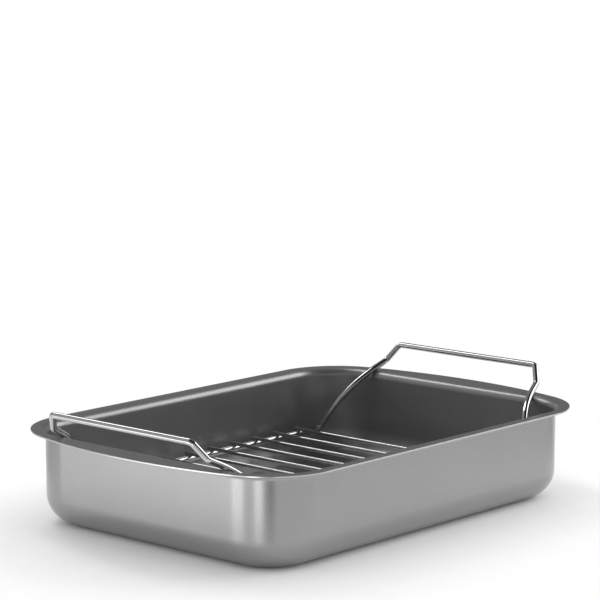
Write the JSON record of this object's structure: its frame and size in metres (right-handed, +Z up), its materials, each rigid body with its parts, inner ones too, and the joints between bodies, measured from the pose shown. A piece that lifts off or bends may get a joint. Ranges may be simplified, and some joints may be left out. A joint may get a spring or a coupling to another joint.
{
  "type": "roasting pan with rack",
  "caption": "Deep rectangular roasting pan with rounded corners and a flat bowed rim, with a lift-out wire rack hanging on its rim by raised end handles.",
  "frame": {"origin": "middle of the base, on the surface the pan stands on", "axes": "+X along the pan's length towards one handle, +Y across its width, +Z up"},
  "size_m": [0.3976, 0.2778, 0.0953],
  "materials": {
    "pan_steel": "satin steel, the bare outside of the pan",
    "nonstick_coat": "dark grey satin non-stick coat on the inside and the rim's top; it is part of pan_shell and has no node of its own",
    "rack_wire": "polished steel wire"
  },
  "bodies": {
    "pan": {"pan_shell": "pan_steel"},
    "rack": {"rack_hoop_left": "rack_wire", "rack_hoop_right": "rack_wire", "rack_rail_front": "rack_wire", "rack_rail_back": "rack_wire", "cross_wire_01": "rack_wire", "cross_wire_02": "rack_wire", "cross_wire_03": "rack_wire", "cross_wire_04": "rack_wire", "cross_wire_05": "rack_wire", "cross_wire_06": "rack_wire", "cross_wire_07": "rack_wire", "cross_wire_08": "rack_wire", "cross_wire_09": "rack_wire", "cross_wire_10": "rack_wire"}
  },
  "joints": [
    {"name": "rack_lift", "type": "slide", "parent": "pan", "child": "rack", "axis": [0, 0, 1], "range_m": [0, 0.08]}
  ]
}
